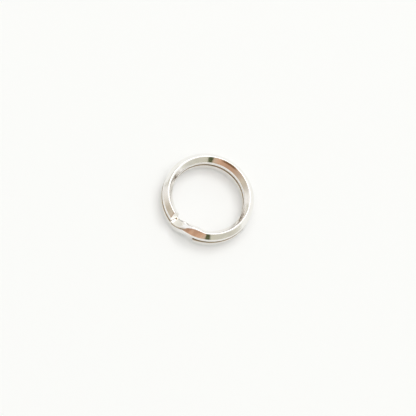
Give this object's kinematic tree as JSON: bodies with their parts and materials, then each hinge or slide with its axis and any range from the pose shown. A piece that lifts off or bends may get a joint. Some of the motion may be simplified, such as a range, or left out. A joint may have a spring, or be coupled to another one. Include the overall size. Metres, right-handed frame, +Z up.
{
  "type": "split ring",
  "caption": "Small double-wound split ring of domed wire, opened at its cut end to thread a loop or pendant on.",
  "frame": {"origin": "centre of the ring, on the surface that it lies on", "axes": "+Z up along the axis of the eye, -Y towards the middle of the crossover between the two coils"},
  "size_m": [0.006, 0.006, 0.0014],
  "materials": {
    "polished_silver": "polished"
  },
  "bodies": {
    "root": {"split_ring": "polished_silver"}
  },
  "joints": []
}
